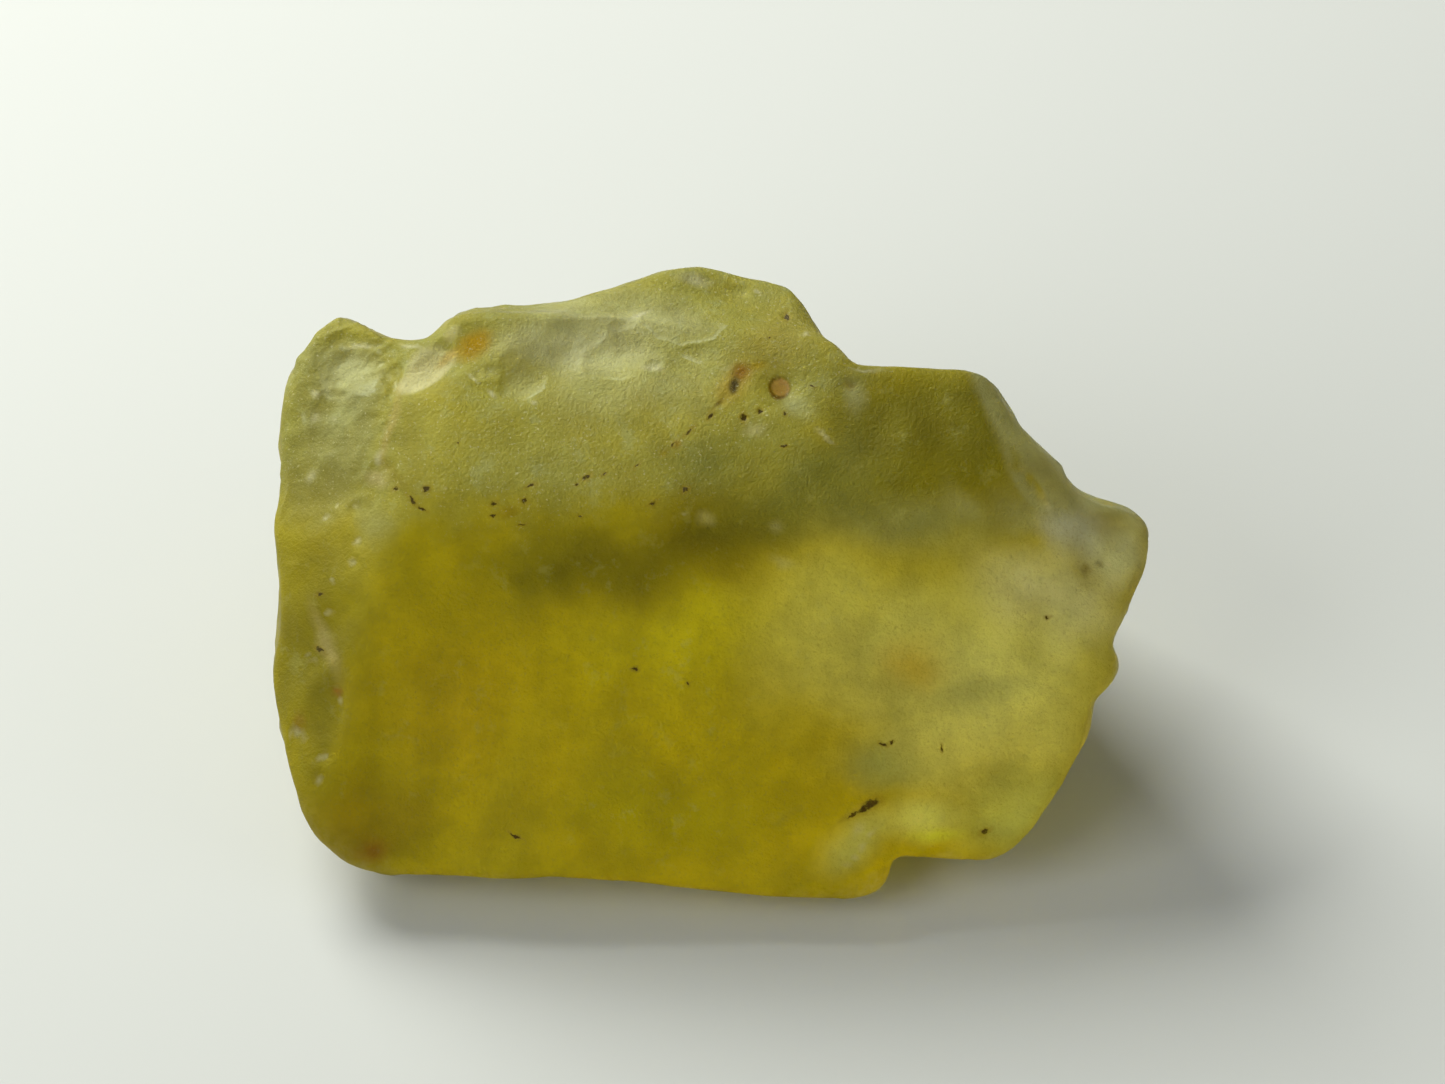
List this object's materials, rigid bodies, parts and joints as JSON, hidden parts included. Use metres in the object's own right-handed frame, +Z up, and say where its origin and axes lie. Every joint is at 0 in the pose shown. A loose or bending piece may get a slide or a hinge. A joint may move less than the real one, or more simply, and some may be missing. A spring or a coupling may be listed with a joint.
{
  "type": "raw libyan desert glass",
  "caption": "Raw chunk of natural desert glass with a broad wind-polished face, a scarred crown and a flat to rest on, for display or as a specimen.",
  "frame": {"origin": "middle of the stone's bounding box in plan, at the height of the flat that it rests on", "axes": "+Z up, +X along the stone's length towards its pointed end, -Y towards the broad smooth face that leans back"},
  "size_m": [0.0364, 0.026, 0.018],
  "materials": {
    "desert_glass": "natural yellow glass, frosted by wind-blown sand, translucent, hazy on the crown"
  },
  "bodies": {
    "root": {"desert_glass": "desert_glass"}
  },
  "joints": []
}
